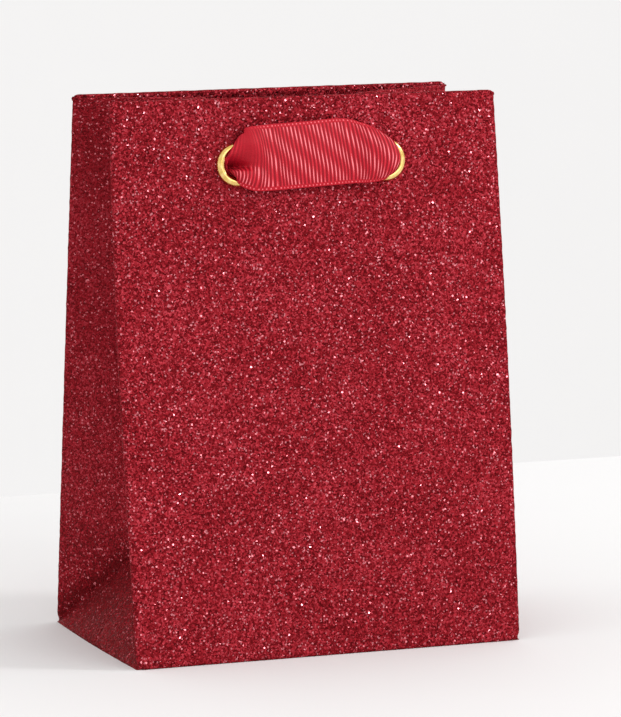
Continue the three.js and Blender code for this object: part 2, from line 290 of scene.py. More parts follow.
class Nodes:
    """A material's nodes, written as short calls."""

    def __init__(self, name):
        self.material = bpy.data.materials.new(name)
        self.material.use_nodes = True
        self.tree = self.material.node_tree
        self.shader = self.tree.nodes["Principled BSDF"]

    def add(self, kind, inputs=(), **settings):
        node = self.tree.nodes.new(kind)
        for key, value in settings.items():
            setattr(node, key, value)
        for key, value in dict(inputs).items():
            self.put(node.inputs[key], value)
        return node

    def put(self, socket, value):
        if isinstance(value, bpy.types.NodeSocket):
            self.tree.links.new(value, socket)
        else:
            socket.default_value = value

    def math(self, operation, a, b=0.0):
        return self.add("ShaderNodeMath", {0: a, 1: b}, operation=operation).outputs[0]

    def vector(self, operation, a, b=(0, 0, 0)):
        return self.add("ShaderNodeVectorMath", {0: a, 1: b}, operation=operation).outputs[0]

    def scaled(self, vector, amount):
        node = self.add("ShaderNodeVectorMath", {0: vector}, operation="SCALE")
        self.put(node.inputs["Scale"], amount)
        return node.outputs[0]

    def mix(self, share, a, b):
        node = self.add("ShaderNodeMix", data_type="RGBA")
        self.put(node.inputs[0], share)
        self.put(node.inputs[6], a)
        self.put(node.inputs[7], b)
        return node.outputs[2]

    def ramp(self, value, stops):
        node = self.add("ShaderNodeValToRGB", {0: value})
        elements = node.color_ramp.elements
        for i, (position, colour) in enumerate(stops):
            element = elements[i] if i < 2 else elements.new(position)
            element.position = position
            element.color = (*colour, 1)
        return node.outputs[0]

    def band(self, value, low, high):
        """0 below low, 1 above high."""
        node = self.add("ShaderNodeMapRange", {0: value, 1: low, 2: high})
        node.interpolation_type = "SMOOTHSTEP"
        return node.outputs[0]

    def attribute(self, name):
        return self.add("ShaderNodeAttribute", attribute_name=name).outputs["Vector"]

    def noise(self, vector, scale, detail=3.0):
        inputs = {"Vector": vector, "Scale": scale, "Detail": detail}
        return self.add("ShaderNodeTexNoise", inputs).outputs[0]

    def set(self, **values):
        for key, value in values.items():
            self.put(self.shader.inputs[key.replace("_", " ")], value)


def glitter_paper():
    """Fine red glitter in lacquer: each flake has its own tone, tilt and gloss; a few are pale mirrors.

    A vector attribute holds painted shade: how much darker the paper is painted at the foot fold, and how
    much of its sparkle is taken away on the sides.
    """
    n = Nodes("glitter")
    sheet = n.attribute("sheet")
    flakes = n.add("ShaderNodeTexVoronoi", {"Vector": sheet, "Scale": 2900.0})
    chance = n.add("ShaderNodeSeparateXYZ", {0: flakes.outputs["Color"]}).outputs
    other = n.add("ShaderNodeTexWhiteNoise", noise_dimensions="3D")
    n.put(other.inputs["Vector"], flakes.outputs["Position"])
    luck = other.outputs["Value"]
    patch = n.noise(sheet, 45.0)
    # Painted shade: a darker tone at the foot fold, and fewer pink and mirror flakes on the sides
    crease_shade, side_shade, _ = n.add("ShaderNodeSeparateXYZ", {0: n.attribute("painted_shade")}).outputs
    tone = n.math("ADD", chance[0], n.math("MULTIPLY", n.math("SUBTRACT", patch, 0.5), 0.45))
    tone = n.math("SUBTRACT", tone, n.math("MULTIPLY", crease_shade, 0.55))
    # The sparkle that is left once the painted side shade takes some away
    shine = n.math("SUBTRACT", 1.0, side_shade)
    colour = n.ramp(tone, [
        (0.0, (0.11, 0.005, 0.007)),
        (0.4, (0.20, 0.0080, 0.0125)),
        (0.75, (0.32, 0.016, 0.025)),
        (1.0, (0.47, 0.046, 0.064)),
    ])
    pink = n.math("MULTIPLY", n.band(luck, 0.93, 0.94), shine)
    colour = n.mix(pink, colour, (0.48, 0.050, 0.070, 1))
    mirror = n.math("MULTIPLY", n.band(luck, 0.955, 0.965), shine)
    colour = n.mix(mirror, colour, (0.62, 0.19, 0.22, 1))
    tilt = n.scaled(n.vector("SUBTRACT", flakes.outputs["Color"], (0.5, 0.5, 0.5)), 1.0)
    normal = n.add("ShaderNodeNewGeometry").outputs["Normal"]
    normal = n.vector("NORMALIZE", n.vector("ADD", normal, tilt))
    rough = n.add("ShaderNodeMapRange", {0: chance[2], 3: 0.34, 4: 0.6}).outputs[0]
    rough = n.math("SUBTRACT", rough, n.math("MULTIPLY", mirror, 0.29))
    n.set(Base_Color=colour, Normal=normal, Roughness=rough, Specular_IOR_Level=0.08)
    n.set(Specular_Tint=(0.55, 0.08, 0.10, 1))
    n.set(Metallic=n.add("ShaderNodeMapRange", {0: mirror, 3: 0.45, 4: 0.95}).outputs[0])
    return n.material


def plain_paper():
    """The uncoated back of the glitter paper, a slightly fibrous off-white."""
    n = Nodes("paper_back")
    sheet = n.attribute("sheet")
    fibres = n.noise(n.vector("MULTIPLY", sheet, (1, 0.35, 1)), 2600.0, 4.0)
    clouds = n.noise(sheet, 120.0)
    colour = n.ramp(n.math("ADD", n.math("MULTIPLY", fibres, 0.6), n.math("MULTIPLY", clouds, 0.4)), [
        (0.3, (0.70, 0.63, 0.61)),
        (0.7, (0.84, 0.79, 0.77)),
    ])
    bump = n.add("ShaderNodeBump", {"Height": fibres, "Strength": 0.25, "Distance": 0.00008})
    n.set(Base_Color=colour, Roughness=n.math("ADD", n.math("MULTIPLY", fibres, 0.15), 0.78))
    n.set(Normal=bump.outputs[0])
    return n.material


def grey_board():
    """Unprinted grey board with flecks of recycled fibre."""
    n = Nodes("grey_board")
    at = n.add("ShaderNodeTexCoord").outputs["Object"]
    fibres = n.noise(n.vector("MULTIPLY", at, (1, 0.3, 1)), 2200.0, 5.0)
    flecks = n.add("ShaderNodeTexVoronoi", {"Vector": at, "Scale": 700.0})
    fleck = n.band(flecks.outputs["Distance"], 0.12, 0.2)
    colour = n.ramp(fibres, [(0.3, (0.24, 0.22, 0.19)), (0.7, (0.36, 0.34, 0.30))])
    colour = n.mix(fleck, (0.12, 0.10, 0.09, 1), colour)
    bump = n.add("ShaderNodeBump", {"Height": fibres, "Strength": 0.4, "Distance": 0.0001})
    n.set(Base_Color=colour, Roughness=n.math("ADD", n.math("MULTIPLY", fibres, 0.2), 0.75))
    n.set(Normal=bump.outputs[0])
    return n.material


def polished_brass():
    """Polished brass with faint smears and turning marks."""
    n = Nodes("brass")
    at = n.add("ShaderNodeTexCoord").outputs["Object"]
    smear = n.noise(at, 900.0, 4.0)
    scratch = n.noise(n.vector("MULTIPLY", at, (1, 1, 9)), 2500.0, 2.0)
    colour = n.ramp(smear, [(0.35, (0.72, 0.47, 0.13)), (0.65, (0.90, 0.66, 0.27))])
    bump = n.add("ShaderNodeBump", {"Height": scratch, "Strength": 0.12, "Distance": 0.00003})
    n.set(Base_Color=colour, Metallic=1.0, Normal=bump.outputs[0])
    n.set(Roughness=n.add("ShaderNodeMapRange", {0: smear, 1: 0.3, 2: 0.7, 3: 0.13, 4: 0.27}).outputs[0])
    return n.material


def grosgrain():
    """Ribbed satin yarn, deep red, with a fine weave along the ribs; the crests are painted pale as
    highlights and the valleys dark as shade.
    """
    n = Nodes("grosgrain")
    sheet = n.attribute("sheet")
    parts = n.add("ShaderNodeSeparateXYZ", {0: sheet}).outputs
    rib = n.attribute("rib")
    crest_light = n.add("ShaderNodeSeparateXYZ", {0: rib}).outputs[0]
    thread = n.math("SINE", n.math("MULTIPLY", parts[1], 2 * math.pi / 0.00035))
    fuzz = n.noise(n.vector("MULTIPLY", sheet, (3, 1, 1)), 3000.0, 3.0)
    height = n.math("ADD", crest_light, n.math("MULTIPLY", n.math("SUBTRACT", fuzz, 0.5), 0.35))
    # Painted light: the top stops paint highlights on the crests, and the lowest stop paints shade in the
    # valleys and the pocket; the middle stops are the ribbon's red
    colour = n.ramp(height, [
        (0.05, (0.25, 0.002, 0.010)),
        (0.45, (0.46, 0.006, 0.018)),
        (0.75, (0.67, 0.024, 0.042)),
        (1.0, (0.97, 0.30, 0.33)),
    ])
    bump = n.add("ShaderNodeBump", {"Strength": 0.35, "Distance": 0.00006})
    n.put(bump.inputs["Height"], n.math("ADD", n.math("MULTIPLY", thread, 0.15), fuzz))
    n.set(Base_Color=colour, Normal=bump.outputs[0])
    n.set(Roughness=n.math("ADD", n.math("MULTIPLY", fuzz, 0.2), 0.36))
    n.set(Sheen_Weight=0.04, Sheen_Roughness=0.4, Sheen_Tint=(1.0, 0.4, 0.45, 1), Specular_IOR_Level=0.18)
    return n.material


GLITTER = glitter_paper()
PLAIN = plain_paper()
BOARD = grey_board()
BRASS = polished_brass()
RIBBON = grosgrain()


# ---------------- panels

def panel_rows():
    """(height, depth, length along the sheet) up the outside, over the hem's roll and down inside."""
    roll = HEM_THICKNESS / 2
    foot = EDGE_RADIUS
    rows = [(foot * (1 - math.cos(a)), foot * (1 - math.sin(a))) for a in np.linspace(0.2, math.pi / 2, 5)]
    rows += [(z, 0.0) for z in spaced(foot, PANEL_HEIGHT - roll, 0.0008)[1:]]
    for a in np.linspace(0, math.pi, 11)[1:]:
        rows.append((PANEL_HEIGHT - roll + roll * math.sin(a), roll * (1 - math.cos(a))))
    rows += [(z, HEM_THICKNESS) for z in spaced(PANEL_HEIGHT - roll, HEM_START, 0.0008)[1:]]
    rows = np.array(rows)
    length = np.concatenate([[0], np.cumsum(np.hypot(*np.diff(rows, axis=0).T))])
    return rows[:, 0], rows[:, 1], length


def panel_columns():
    """(middle, turn) across a panel: its two rounded edges and the flat between them."""
    flat = HALF_WIDTH - EDGE_RADIUS
    edge = np.linspace(math.pi / 2, 0, 6)[:-1]
    across = spaced(-flat, flat, 0.0008)
    middles = np.concatenate([np.full(5, -flat), across, np.full(5, flat)])
    turns = np.concatenate([-edge, np.zeros(len(across)), edge[::-1]])
    return middles, turns


def fold_angle(height):
    """The angle between a panel and the gusset half beside it at a height up the panel."""
    half_gap = HALF_DEPTH - height * math.sin(LEAN)
    reach = np.interp(height * math.cos(LEAN), [0, FOOT_TIP[2], TOP_TIP[2]],
                      [0.002, FOLD_DEPTH_FOOT, FOLD_DEPTH_TOP])
    return np.arctan2(half_gap, reach)


def hem_inset(height):
    """How far in from the edge the turned hem of a panel meets that of the gusset."""
    angle = fold_angle(height)
    return (HEM_THICKNESS + SIDE_HEM / np.cos(angle)) / np.tan(angle)


def corner_drop(height, away):
    """How much lower the top edge is near a corner, where the folds of the hem round it off."""
    near_top = np.clip((height - PANEL_HEIGHT + 0.004) / 0.004, 0, 1) ** 2
    return 0.0007 * smooth(1 - away / 0.0016) ** 2 * near_top


def foot_corner(height, away):
    """1 at a bottom corner of a panel, which is worn round, and 0 away from it."""
    return smooth(1 - height / 0.0025) * smooth(1 - away / 0.0025)


def panel_points():
    """A panel's outer surface in its own frame, with the places on the flat sheet."""
    height, depth, length = (row[:, None] for row in panel_rows())
    middle, turn = (column[None, :] for column in panel_columns())
    x = middle + EDGE_RADIUS * np.sin(turn)
    turned = np.clip(depth / EDGE_RADIUS, 0, 1)
    inset = hem_inset(height)
    past_roll = (depth > HEM_THICKNESS * 0.999) * (PANEL_HEIGHT - HEM_THICKNESS / 2 - height)
    narrowed = HALF_WIDTH - HEM_PINCH * inset * smooth(past_roll / 0.003)
    share = (np.abs(x) - HEM_FLAT) / (HALF_WIDTH - HEM_FLAT)
    x = np.where(share > 0, np.sign(x) * (HEM_FLAT + share * (narrowed - HEM_FLAT)), x)
    away = HALF_WIDTH - np.abs(x)
    pinch = np.clip(away / inset, CORNER_PINCH, 1)
    y = depth * pinch + (1 - turned) * EDGE_RADIUS * (1 - np.cos(turn))
    z = height - corner_drop(height, away) + FOOT_LIFT * foot_corner(height, away)
    x = x - np.sign(x) * FOOT_LIFT * foot_corner(height, away)
    return joined(x, y, z), joined(middle + EDGE_RADIUS * turn, length, 0 * x)


def punch(points, faces, eyelets):
    """Opens a round hole at each eyelet: faces inside go, and the edge left is pulled onto the circle."""
    flat = points.reshape(-1, 3)
    for x, z, _ in eyelets:
        away = np.hypot(flat[:, 0] - x, flat[:, 2] - z)
        inside = away[faces].mean(axis=1) < HOLE_RADIUS
        edge = np.intersect1d(faces[inside], faces[~inside])
        pull = (HOLE_RADIUS / np.maximum(away[edge], 1e-9))[:, None]
        centre = np.array([x, z])
        flat[np.ix_(edge, [0, 2])] = centre + (flat[np.ix_(edge, [0, 2])] - centre) * pull
        faces = faces[~inside]
    return flat, faces


def make_panel(face):
    points, places = panel_points()
    rows, columns = points.shape[:2]
    flat, faces = punch(points, grid_faces(rows, columns), eyelet_places(face))
    offset = np.array([0, 0, 0 if face == "front" else 0.5])
    panel = mesh_piece(f"{face}_sheet", roughened(place(face, flat)), faces, [GLITTER, PLAIN],
                       places.reshape(-1, 3) + offset, weld=0)
    remove_loose(panel)
    thicken(panel, PAPER, backing=1)
    hide_plain_side(panel)
    keep_above_floor(panel)
    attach(panel, face)
    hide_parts(f"{face}_panel")


def hide_plain_side(piece):
    """Glitter covers the plain side where the hem lies, and in the fold at the very bottom."""
    for face in piece.data.polygons:
        if not FOLD_TOP < face.center.z < HEM_START * math.cos(LEAN):
            face.material_index = 0


def keep_above_floor(piece):
    for vertex in piece.data.vertices:
        vertex.co.z = max(vertex.co.z, FLOOR_GAP)


def remove_loose(piece):
    work = bmesh.new()
    work.from_mesh(piece.data)
    bmesh.ops.delete(work, geom=[v for v in work.verts if not v.link_faces], context="VERTS")
    work.to_mesh(piece.data)
    work.free()


def slab(face, name, x_range, z_range, y_range, material, step=0.001):
    """A thin card or strip that follows a panel's bow, with holes where eyelets pass through it."""
    x, z = np.meshgrid(spaced(*x_range, step), spaced(*z_range, step))
    points = joined(x, y_range[0], z)
    flat, faces = punch(points, grid_faces(*x.shape), eyelet_places(face))
    places = joined(flat[:, 0], flat[:, 2], 0.7)
    piece = mesh_piece(name, place(face, flat), faces, [material, PLAIN], places, weld=0)
    remove_loose(piece)
    return thicken(piece, y_range[1] - y_range[0], backing=0 if material is BOARD else 1)


def make_hem_card(face):
    depth = (HEM_THICKNESS - CARD) / 2
    top = PANEL_HEIGHT - HEM_THICKNESS
    reach = HALF_WIDTH - CARD_INSET
    card = slab(face, f"{face}_card", (-reach, reach), (HEM_START + CARD_LIFT, top),
                (depth, depth + CARD), BOARD)
    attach(card, face)
    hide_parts(f"{face}_hem_card")


def make_seam_flap():
    """The glue flap inside the back, on the bag's right, with its plain side towards the inside."""
    low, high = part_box("side_seam_flap")
    near = PAPER + SEAM_GAP
    flap = slab("back", "seam_flap", (-high.x, -low.x), (low.z / math.cos(LEAN), HEM_START - 0.001),
                (near, near + PAPER), GLITTER)
    hide_plain_side(flap)
    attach(flap, "back")
    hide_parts("side_seam_flap")


# ---------------- sides

def side_rows():
    """(height, depth, length along the sheet) up a side half and down inside its hem, with two counts:

    of the rows below the foot fold's tip, and of those outside and over the hem's roll.
    """
    roll = SIDE_HEM / 2
    foot_share = FOOT_TIP[2] / TOP_TIP[2]
    rows = list(spaced(0, PANEL_HEIGHT * foot_share, 0.0007))
    foot_rows = len(rows)
    rows += list(spaced(rows[-1], PANEL_HEIGHT - roll, 0.0008)[1:])
    depth = [0.0] * len(rows)
    for a in np.linspace(0, math.pi, 9)[1:]:
        rows.append(PANEL_HEIGHT - roll + roll * math.sin(a))
        depth.append(roll * (1 - math.cos(a)))
    outer_rows = len(rows)
    inner = spaced(PANEL_HEIGHT - roll, HEM_START, 0.0008)[1:]
    rows = np.array(rows + list(inner))
    depth = np.array(depth + [SIDE_HEM] * len(inner))
    length = np.concatenate([[0], np.cumsum(np.hypot(np.diff(rows), np.diff(depth)))])
    return rows, depth, length, foot_rows, outer_rows


def foot_line(y):
    """How far out a side's bottom fold lies: it bows out a little in the middle."""
    return HALF_WIDTH + FOOT_BULGE * np.cos(np.pi / 2 * y / HALF_DEPTH)


def side_sections(start, crease, share, belly, sign):
    """Points across a side half at each height, from its rounded edge to its rounded crease.

    With them come the directions of its inner side and its angle to the panel.
    """
    wide = crease - start
    width = np.hypot(wide[:, 0], wide[:, 1])
    angle = np.arctan2(np.abs(wide[:, 1]), wide[:, 0])
    room = np.clip(width / FULL_RADIUS_WIDTH, 0.02, 1)
    radius = EDGE_RADIUS * room
    bend = (math.pi / 2 - angle)[:, None]
    turns = np.linspace(0, 1, 5)[:-1][None, :] * bend
    round_edge = joined(1 - np.cos(turns), sign * np.sin(turns), 0.0)
    arc = start[:, None, :] + radius[:, None, None] * round_edge
    arc_end = start + radius[:, None] * joined(1 - np.sin(angle), sign * np.cos(angle), 0.0)
    tip_radius = CREASE_RADIUS * room
    tip_centre = crease - joined(tip_radius, 0.0, 0.0)
    tips = np.linspace(0, 1, 5)[None, :] * bend - bend
    round_tip = joined(np.cos(tips), sign * np.sin(tips), 0.0)
    tip = tip_centre[:, None, :] + tip_radius[:, None, None] * round_tip
    t = np.linspace(0, 1, 34)[None, 1:-1]
    line = arc_end[:, None, :] + (tip[:, 0] - arc_end)[:, None, :] * t[..., None]
    belly = belly * np.sin(np.pi * t) * np.sin(np.pi * np.clip(share, 0, 1))[:, None]
    line[..., 0] += belly * np.sin(angle)[:, None]
    line[..., 1] -= sign * belly * np.cos(angle)[:, None]
    points = np.concatenate([arc, arc_end[:, None], line, tip], axis=1)
    facing = joined(np.sin(angle), -sign * np.cos(angle), 0.0)[:, None, :]
    inwards = np.repeat(facing, points.shape[1], axis=1)
    inwards[:, -tip.shape[1]:] = round_tip
    return points, inwards, angle


def foot_half(diagonal, low, tag):
    """Half of a foot fold, from its diagonal edge on the gusset down to the floor."""
    ground = diagonal * [0, 1, 0] + [0, 0, 0.00005]
    ground[:, 0] = -foot_line(ground[:, 1])
    down = np.linspace(0, 1, 30)[None, :, None]
    foot = diagonal[:, None, :] + (ground - diagonal)[:, None, :] * down
    foot[..., 0] -= FOOT_BULGE * np.sin(np.pi * down[..., 0]) * low
    run = np.linalg.norm(ground - diagonal, axis=1)[:, None]
    return foot, joined(HALF_DEPTH - np.abs(foot[..., 1]), run * (1 - down[..., 0]), tag)


def side_half(side, face):
    """Half of a gusset with its half of the foot fold, as grids of (points, sheet places).

    It is worked out as the left half next to the front or back, and mirrored for the right side.
    """
    mirror = 1 if side == "left" else -1
    sign = 1 if face == "front" else -1
    as_seen = -mirror if face == "front" else mirror
    rows, depth, length, foot_rows, outer_rows = side_rows()
    share = rows / PANEL_HEIGHT
    foot_share = share[foot_rows - 1]
    low = np.clip(share / foot_share, 0, 1)[:, None]
    high = np.clip((share - foot_share) / (1 - foot_share), 0, 1)[:, None]

    start = place(face, joined(as_seen * HALF_WIDTH, EDGE_RADIUS, rows)) * [mirror, 1, 1]
    start[:, 2] -= corner_drop(rows, 0 * rows)
    crease = start[0] + (FOOT_TIP - start[0]) * low + (TOP_TIP - FOOT_TIP) * high
    crease[:, 0] += GUSSET_SAG[side] * np.sin(np.pi * high[:, 0])
    points, inwards, angle = side_sections(start, crease, share, SIDE_BELLY[side, face], sign)

    steps = np.linalg.norm(np.diff(points, axis=1), axis=-1)
    along = np.concatenate([np.zeros((len(rows), 1)), np.cumsum(steps, axis=1)], axis=1)
    inset = hem_inset(rows) / np.cos(angle)
    inner_share = np.clip(along / np.maximum(inset, 0.001)[:, None], CORNER_PINCH, 1)
    points += inwards * (depth[:, None] * inner_share)[..., None]
    points[..., 2] += FOOT_LIFT * foot_corner(rows[:, None], along)
    points[..., 0] += FOOT_LIFT * foot_corner(rows[:, None], along)
    points[..., 1] = np.minimum(sign * points[..., 1], 0) * sign
    tag = 1.0 + 0.3 * mirror + 0.1 * sign
    places = joined(along, length[:, None], tag)
    first = int(np.argmax(along[outer_rows - 1] > inset[outer_rows - 1] * HEM_PINCH))
    upper = (points[:outer_rows], places[:outer_rows])
    hem = (points[outer_rows - 1:, first:], places[outer_rows - 1:, first:])
    foot = foot_half(points[:foot_rows, -1], low[:foot_rows], tag)
    flip = -1 if (sign > 0) != (mirror < 0) else 1
    made = []
    for grid, grid_places in (upper, hem, foot):
        grid = roughened(grid * [mirror, 1, 1])
        made.append((grid[:, ::flip], grid_places[:, ::flip]))
    return made


def round_creases(piece, times=2, sharp=math.radians(12)):
    """Softens folds by relaxing the vertices along them, with the outline left in place."""
    work = bmesh.new()
    work.from_mesh(piece.data)
    axes = {"use_axis_x": True, "use_axis_y": True, "use_axis_z": True}
    for _ in range(times):
        creases = [e for e in work.edges if len(e.link_faces) == 2 and e.calc_face_angle(0) > sharp]
        folds = [v for v in {v for e in creases for v in e.verts} if not v.is_boundary]
        bmesh.ops.smooth_vert(work, verts=folds, factor=0.5, **axes)
    work.to_mesh(piece.data)
    work.free()


def paint_side_shade(piece):
    """Paints shade on the sides: their sparkle is duller than the front's, and they are painted darkest just
    above the foot fold's crease, fading upwards, and darker over the foot fold itself.
    """
    at = np.array([vertex.co for vertex in piece.data.vertices])
    above = at[:, 2] - FOOT_TIP[2] * (1 - np.abs(at[:, 1]) / HALF_DEPTH)
    crease_shade = np.where(above < 0, FOOT_PAINTED_SHADE, np.exp(-((above / CREASE_SHADE_WIDTH) ** 2)))
    keep_vectors(piece.data, "painted_shade", joined(crease_shade, SIDE_SHADE_DULLING, 0.0))


def make_side(side, face):
    """A gusset half with half of the foot fold, which bends between the panel and the bottom."""
    piece = make_piece(f"{face}_side_{side}", side_half(side, face), [GLITTER, PLAIN], weld=2e-5)
    round_creases(piece)
    # Painted shade on the foot fold and its crease, and duller sparkle on the sides
    paint_side_shade(piece)
    thicken(piece, PAPER, backing=1)
    hide_plain_side(piece)
    keep_above_floor(piece)
    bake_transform(piece)
    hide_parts(f"gusset_{side}_{face}", f"foot_fold_{side}")


# ---------------- bottom

def make_long_flap(face, start, end, lap=None, lift=0.0):
    """The flap that folds in from the front or back, glitter side down, from y start to y end.

    Up to the line y = lap it lies on the other flap, lifted by the thickness of the paper.
    """
    y = spaced(start, end, 0.0008)[:, None]
    raised = 0.0 if lap is None else lift * (1 - smooth((y - lap - LAP_GAP) / LAP_RAMP))
    half = foot_line(y) - FLAP_INSET - FLAP_TAPER * (y - start) / (end - start)
    half = half - LAP_SHORTENING * raised * FOLD_DEPTH_FOOT / FOOT_TIP[2]
    x = spaced(-1, 1, 0.02)[None, :] * half
    z = raised + 0.00004 * (1 + np.sin(x * 90 + 40 * y))
    points = joined(x, y, z)
    places = points * [1, 1, 0] + [0, 0, 2]
    finish_flap(f"{face}_flap", f"bottom_flap_{face}", points, places, end > start)


def finish_flap(name, node, points, places, flip):
    if flip:
        points, places = points[:, ::-1], places[:, ::-1]
    piece = make_piece(name, [(points, places)], [GLITTER, PLAIN], weld=0)
    thicken(piece, PAPER, backing=1)
    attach(piece, "base")
    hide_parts(node)


def make_bottom():
    """The four flaps: the two from the sides lie on top of those from the back and the front."""
    low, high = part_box("bottom_flap_front")
    make_long_flap("front", low.y, high.y)
    lap = high.y
    low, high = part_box("bottom_flap_back")
    make_long_flap("back", high.y, low.y, lap, high.z - PAPER)
    for side, sign in (("left", -1), ("right", 1)):
        low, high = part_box(f"tuck_flap_{side}")
        outer, inner = (low.x, high.x) if sign < 0 else (high.x, low.x)
        x = spaced(outer, inner, 0.0008)[:, None]
        half = high.y - np.abs(x - outer)
        y = spaced(-1, 1, 0.025)[None, :] * half
        z = low.z + 0.00003 * (1 + np.sin(70 * x + 60 * y))
        points = joined(x, y, z)
        places = points * [1, 1, 0] + [0, 0, 3 + sign]
        finish_flap(f"{side}_tuck", f"tuck_flap_{side}", points, places, sign < 0)


def board_outline(half, corner):
    """A rectangle with rounded corners, from its half sizes."""
    outline = []
    for k, signs in enumerate(np.array([(1, 1), (-1, 1), (-1, -1), (1, -1)])):
        for a in np.linspace(k * math.pi / 2, (k + 1) * math.pi / 2, 6):
            outline.append((half - corner) * signs + corner * np.array([math.cos(a), math.sin(a)]))
    return np.array(outline)


def make_base_board():
    """The board on the bottom, slightly warped, with softened edges."""
    low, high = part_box("base_board")
    half = np.array([high.x, high.y])
    levels = [  # (inset in mm, height)
        (0.35, low.z),
        (0.0, low.z + BOARD_EDGE),
        (0.0, high.z - BOARD_EDGE),
        (0.25, high.z),
    ]
    outline = board_outline(half, BOARD_CORNER)
    rings = []
    for inset, z in levels:
        ring = outline * (1 - inset * 0.001 / half)
        rings.append(np.column_stack([ring, np.full(len(ring), z)]))
    for shrink in np.linspace(0.9, 0.0, 10):
        ring = outline * shrink
        warp = 0.00012 * (1 - (ring[:, 0] / half[0]) ** 2)
        rings.append(np.column_stack([ring, high.z + warp]))
    under = [np.column_stack([outline * s, np.full(len(outline), low.z)]) for s in np.linspace(0, 0.95, 4)]
    points = np.array(under + rings)
    piece = make_piece("bottom_board", [(points, points)], [BOARD], closed=True, weld=1e-6)
    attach(piece, "base")
    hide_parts("base_board")


# ---------------- eyelets

def lathe(name, profile, material, matrix, segments=72):
    """Turns a closed profile of (radius, depth) about the panel's inward axis."""
    radius, depth = np.array(profile).T
    angle = np.linspace(0, 2 * math.pi, segments, endpoint=False)[:, None]
    points = joined(radius * np.cos(angle), depth, radius * np.sin(angle))
    points = np.concatenate([points, points[:1]])
    world = points @ np.array(matrix.to_3x3()).T + np.array(matrix.translation)
    piece = make_piece(name, [(world, world)], [material], closed=True, weld=1e-7)
    fix_facing(piece)
    return piece


def fix_facing(piece):
    """Turns every face outwards."""
    work = bmesh.new()
    work.from_mesh(piece.data)
    bmesh.ops.recalc_face_normals(work, faces=work.faces)
    work.to_mesh(piece.data)
    work.free()


def half_round(low, high, level, rise, steps=14):
    """A half-round bead between two radii: outwards with a negative rise, inwards with a positive one."""
    angle = np.linspace(math.pi, 0, steps) if rise < 0 else np.linspace(0, math.pi, steps)
    middle, half = (low + high) / 2, (high - low) / 2
    return [(middle + half * math.cos(a), level + rise * math.sin(a)) for a in angle]


def eyelet_profile():
    """(radius, depth) round an eyelet: its domed flange, its barrel and the roll behind the washer."""
    roll = HEM_THICKNESS + 2 * LAYER_GAP + WASHER
    profile = half_round(BORE_RADIUS, FLANGE_RADIUS, -FLANGE_SINK, -FLANGE_RISE)
    profile += [(FLANGE_RADIUS - 0.0001, 0.0), (BARREL_RADIUS + 0.0001, 0.0), (BARREL_RADIUS, 0.0003)]
    profile += [(BARREL_RADIUS, roll)]
    profile += half_round(BORE_RADIUS, BARREL_RADIUS + BACK_ROLL, roll, 0.0004, 8)
    profile += [(BORE_RADIUS, depth) for depth in np.linspace(roll, -FLANGE_SINK, 6)[1:-1]]
    return profile


def washer_profile():
    """(radius, depth) round a flat washer with softened outer edges."""
    near = HEM_THICKNESS + 0.0001
    far = near + WASHER
    rim = 0.0001
    return [(HOLE_RADIUS, near), (FLANGE_RADIUS - rim, near), (FLANGE_RADIUS, near + rim),
            (FLANGE_RADIUS, far - rim), (FLANGE_RADIUS - rim, far), (HOLE_RADIUS, far)]


def make_eyelets(face):
    for x, z, name in eyelet_places(face):
        matrix = panel_matrix(face, x, z)
        eyelet = lathe(f"{face}_eyelet_ring_{name}", eyelet_profile(), BRASS, matrix)
        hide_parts(f"{face}_eyelet_{name}")
        washer = lathe(f"{face}_washer_ring_{name}", washer_profile(), BRASS, matrix)
        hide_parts(f"{face}_washer_{name}")
        for piece in (eyelet, washer):
            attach(piece, face)


# ---------------- ribbons

# Key ribs of the strap where it gathers into the left eyelet, each from the upper edge to the lower.
# A point is (right of the eyelet's middle, inwards from the panel, up from the eyelet's middle), in mm.
LEFT_RIBS = [
    [(1.6, -0.9, 2.6), (0.3, -1.0, 3.2), (-1.3, -1.0, 2.7), (-2.4, -0.7, 1.5), (-2.3, 0.6, 0.1),
     (-1.7, 2.0, -0.9), (-1.2, -0.4, -1.9), (-0.3, -0.9, -2.5), (0.9, -0.8, -2.4)],
    [(2.2, -1.0, 4.4), (-0.1, -1.35, 5.3), (-1.5, -1.7, 3.8), (-2.5, -1.6, 2.2), (-2.8, 0.0, 0.7),
     (-2.2, 2.0, -0.5), (-1.8, -1.35, -1.4), (-1.1, -1.5, -2.4), (-0.2, -1.2, -3.0)],
    [(2.4, -0.9, 6.6), (0.8, -1.55, 6.8), (0.0, -2.2, 5.0), (-0.5, -1.8, 3.0), (-0.8, -0.3, 1.2),
     (-0.9, 2.0, -0.5), (-0.8, -2.0, -1.4), (-0.6, -2.1, -2.7), (-0.3, -1.3, -3.9)],
    [(1.9, -1.1, 8.1), (1.7, -1.9, 6.6), (1.5, -2.4, 4.9), (1.4, -2.0, 3.0), (1.3, -0.9, 1.2),
     (1.1, 0.5, -0.5), (0.9, -2.2, -1.5), (0.8, -2.4, -3.2), (0.5, -1.3, -4.9)],
    [(2.6, -1.3, 8.55), (3.1, -2.1, 6.7), (3.4, -2.6, 4.8), (3.6, -2.4, 2.9), (3.6, -1.8, 1.1),
     (3.4, -1.4, -0.5), (3.0, -2.3, -1.8), (2.6, -2.4, -3.7), (2.2, -1.3, -5.7)],
    [(4.3, -1.3, 8.8), (4.8, -2.0, 6.9), (5.2, -2.4, 5.0), (5.4, -2.4, 3.1), (5.5, -2.2, 1.2),
     (5.4, -2.0, -0.7), (5.2, -2.3, -2.5), (4.9, -2.1, -4.4), (4.6, -1.3, -6.2)],
]
